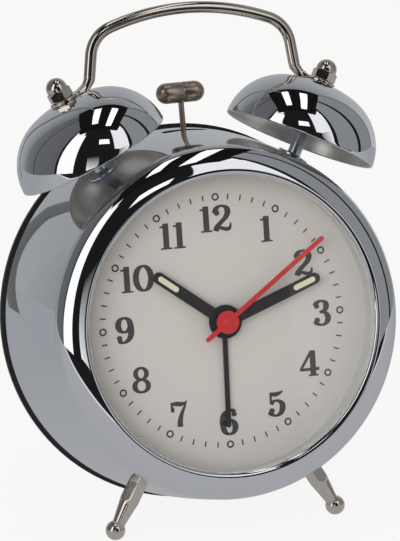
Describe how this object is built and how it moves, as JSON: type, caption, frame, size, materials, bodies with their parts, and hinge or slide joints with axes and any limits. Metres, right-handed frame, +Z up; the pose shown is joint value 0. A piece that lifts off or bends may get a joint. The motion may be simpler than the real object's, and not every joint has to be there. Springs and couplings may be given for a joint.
{
  "type": "twin bell alarm clock",
  "caption": "Round battery alarm clock on two ball feet, with a swinging hammer between two dome bells, a carrying handle, four dial hands and setting knobs at the back.",
  "frame": {"origin": "on the table, straight below the middle of the dial, in the mid plane of the clock", "axes": "+X to the right of someone reading the dial, +Y to the rear, +Z up"},
  "size_m": [0.1216, 0.0731, 0.163],
  "materials": {
    "chrome": "mirror",
    "warm_nickel": "polished",
    "zinc_steel": "satin",
    "clear_glass": "clear",
    "dial_paper": "matte",
    "pale_plastic": "matte",
    "black_plastic": "matte",
    "grey_plastic": "matte",
    "white_gear": "smooth",
    "brass": "plain",
    "soft_iron": "plain",
    "magnet_black": "plain",
    "copper_winding": "lacquered",
    "green_board": "satin",
    "black_hand": "satin",
    "lume": "matte",
    "red_hand": "satin",
    "cell_jacket": "satin"
  },
  "bodies": {
    "clock": {"case_shell": "chrome", "bezel": "chrome", "glass": "clear_glass", "spacer_ring": "pale_plastic", "dial": "dial_paper", "inner_frame": "black_plastic", "back_cover": "black_plastic", "cover_screws": "zinc_steel", "foot_left": "warm_nickel", "foot_right": "warm_nickel", "foot_nuts": "zinc_steel", "bell_left": "chrome", "bell_right": "chrome", "bell_post_left": "zinc_steel", "bell_post_right": "zinc_steel", "post_nuts": "zinc_steel", "handle": "warm_nickel", "cap_nuts": "warm_nickel", "movement_front": "grey_plastic", "movement_rear": "grey_plastic", "circuit_board": "green_board", "drive_coil": "copper_winding", "stator": "soft_iron", "alarm_contact": "brass", "battery": "cell_jacket", "battery_contacts": "brass", "hammer_pivot": "zinc_steel", "strike_coil": "copper_winding", "strike_core": "soft_iron"},
    "second": {"second_wheel": "white_gear", "second_hand": "red_hand"},
    "third": {"third_wheel": "white_gear"},
    "centre": {"centre_wheel": "white_gear"},
    "fifth": {"fifth_wheel": "white_gear"},
    "rotor_body": {"rotor": "magnet_black"},
    "time_setter": {"setting_wheel": "white_gear", "time_knob": "black_plastic"},
    "minute": {"cannon_pinion": "brass", "minute_hand": "black_hand", "minute_lume": "lume"},
    "hour": {"hour_wheel": "white_gear", "hour_hand": "black_hand", "hour_lume": "lume"},
    "alarm_setter": {"alarm_setting_pinion": "white_gear", "alarm_knob": "black_plastic"},
    "alarm": {"alarm_wheel": "white_gear", "alarm_hand": "black_hand"},
    "hammer": {"hammer_head": "warm_nickel", "hammer_stem": "warm_nickel", "hammer_lever": "grey_plastic", "hammer_magnet": "magnet_black"},
    "switch": {"alarm_switch": "grey_plastic"},
    "door": {"battery_door": "black_plastic"}
  },
  "joints": [
    {"name": "second_turn", "type": "hinge", "parent": "clock", "child": "second", "pos_m": [0, 0, 0.06695], "axis": [0, 0.9871, -0.1602], "continuous": true},
    {"name": "third_turn", "type": "hinge", "parent": "clock", "child": "third", "pos_m": [0, 0.002, 0.07929], "axis": [0, 0.9871, -0.1602], "continuous": true},
    {"name": "centre_turn", "type": "hinge", "parent": "clock", "child": "centre", "pos_m": [0, 0, 0.06695], "axis": [0, 0.9871, -0.1602], "continuous": true},
    {"name": "fifth_turn", "type": "hinge", "parent": "clock", "child": "fifth", "pos_m": [0.00321, -0.00192, 0.05513], "axis": [0, 0.9871, -0.1602], "continuous": true},
    {"name": "rotor_turn", "type": "hinge", "parent": "clock", "child": "rotor_body", "pos_m": [0.01355, -0.00252, 0.05141], "axis": [0, 0.9871, -0.1602], "continuous": true},
    {"name": "time_setter_turn", "type": "hinge", "parent": "clock", "child": "time_setter", "pos_m": [-0.0135, 0, 0.06695], "axis": [0, 0.9871, -0.1602], "continuous": true},
    {"name": "minute_turn", "type": "hinge", "parent": "clock", "child": "minute", "pos_m": [0, 0, 0.06695], "axis": [0, 0.9871, -0.1602], "continuous": true},
    {"name": "hour_turn", "type": "hinge", "parent": "clock", "child": "hour", "pos_m": [0, 0, 0.06695], "axis": [0, 0.9871, -0.1602], "continuous": true},
    {"name": "alarm_setter_turn", "type": "hinge", "parent": "clock", "child": "alarm_setter", "pos_m": [0.0135, 0, 0.06695], "axis": [0, 0.9871, -0.1602], "continuous": true},
    {"name": "alarm_turn", "type": "hinge", "parent": "clock", "child": "alarm", "pos_m": [0, 0, 0.06695], "axis": [0, 0.9871, -0.1602], "continuous": true},
    {"name": "hammer_swing", "type": "hinge", "parent": "clock", "child": "hammer", "pos_m": [0, 0.03451, 0.10795], "axis": [0, 0.9871, -0.1602], "range_deg": [-19.4, 22.4]},
    {"name": "switch_slide", "type": "slide", "parent": "clock", "child": "switch", "axis": [1, 0, 0], "range_m": [0, 0.004]},
    {"name": "door_pull", "type": "slide", "parent": "clock", "child": "door", "axis": [0, 0.9871, -0.1602], "range_m": [0, 0.02]}
  ],
  "couplings": [
    {"joint": "third_turn", "follows": "second_turn", "ratio": -0.13333},
    {"joint": "centre_turn", "follows": "second_turn", "ratio": 0.016667},
    {"joint": "fifth_turn", "follows": "second_turn", "ratio": -5},
    {"joint": "rotor_turn", "follows": "second_turn", "ratio": 30},
    {"joint": "minute_turn", "follows": "time_setter_turn", "ratio": -3},
    {"joint": "hour_turn", "follows": "time_setter_turn", "ratio": -0.25},
    {"joint": "alarm_turn", "follows": "alarm_setter_turn", "ratio": -0.25}
  ]
}
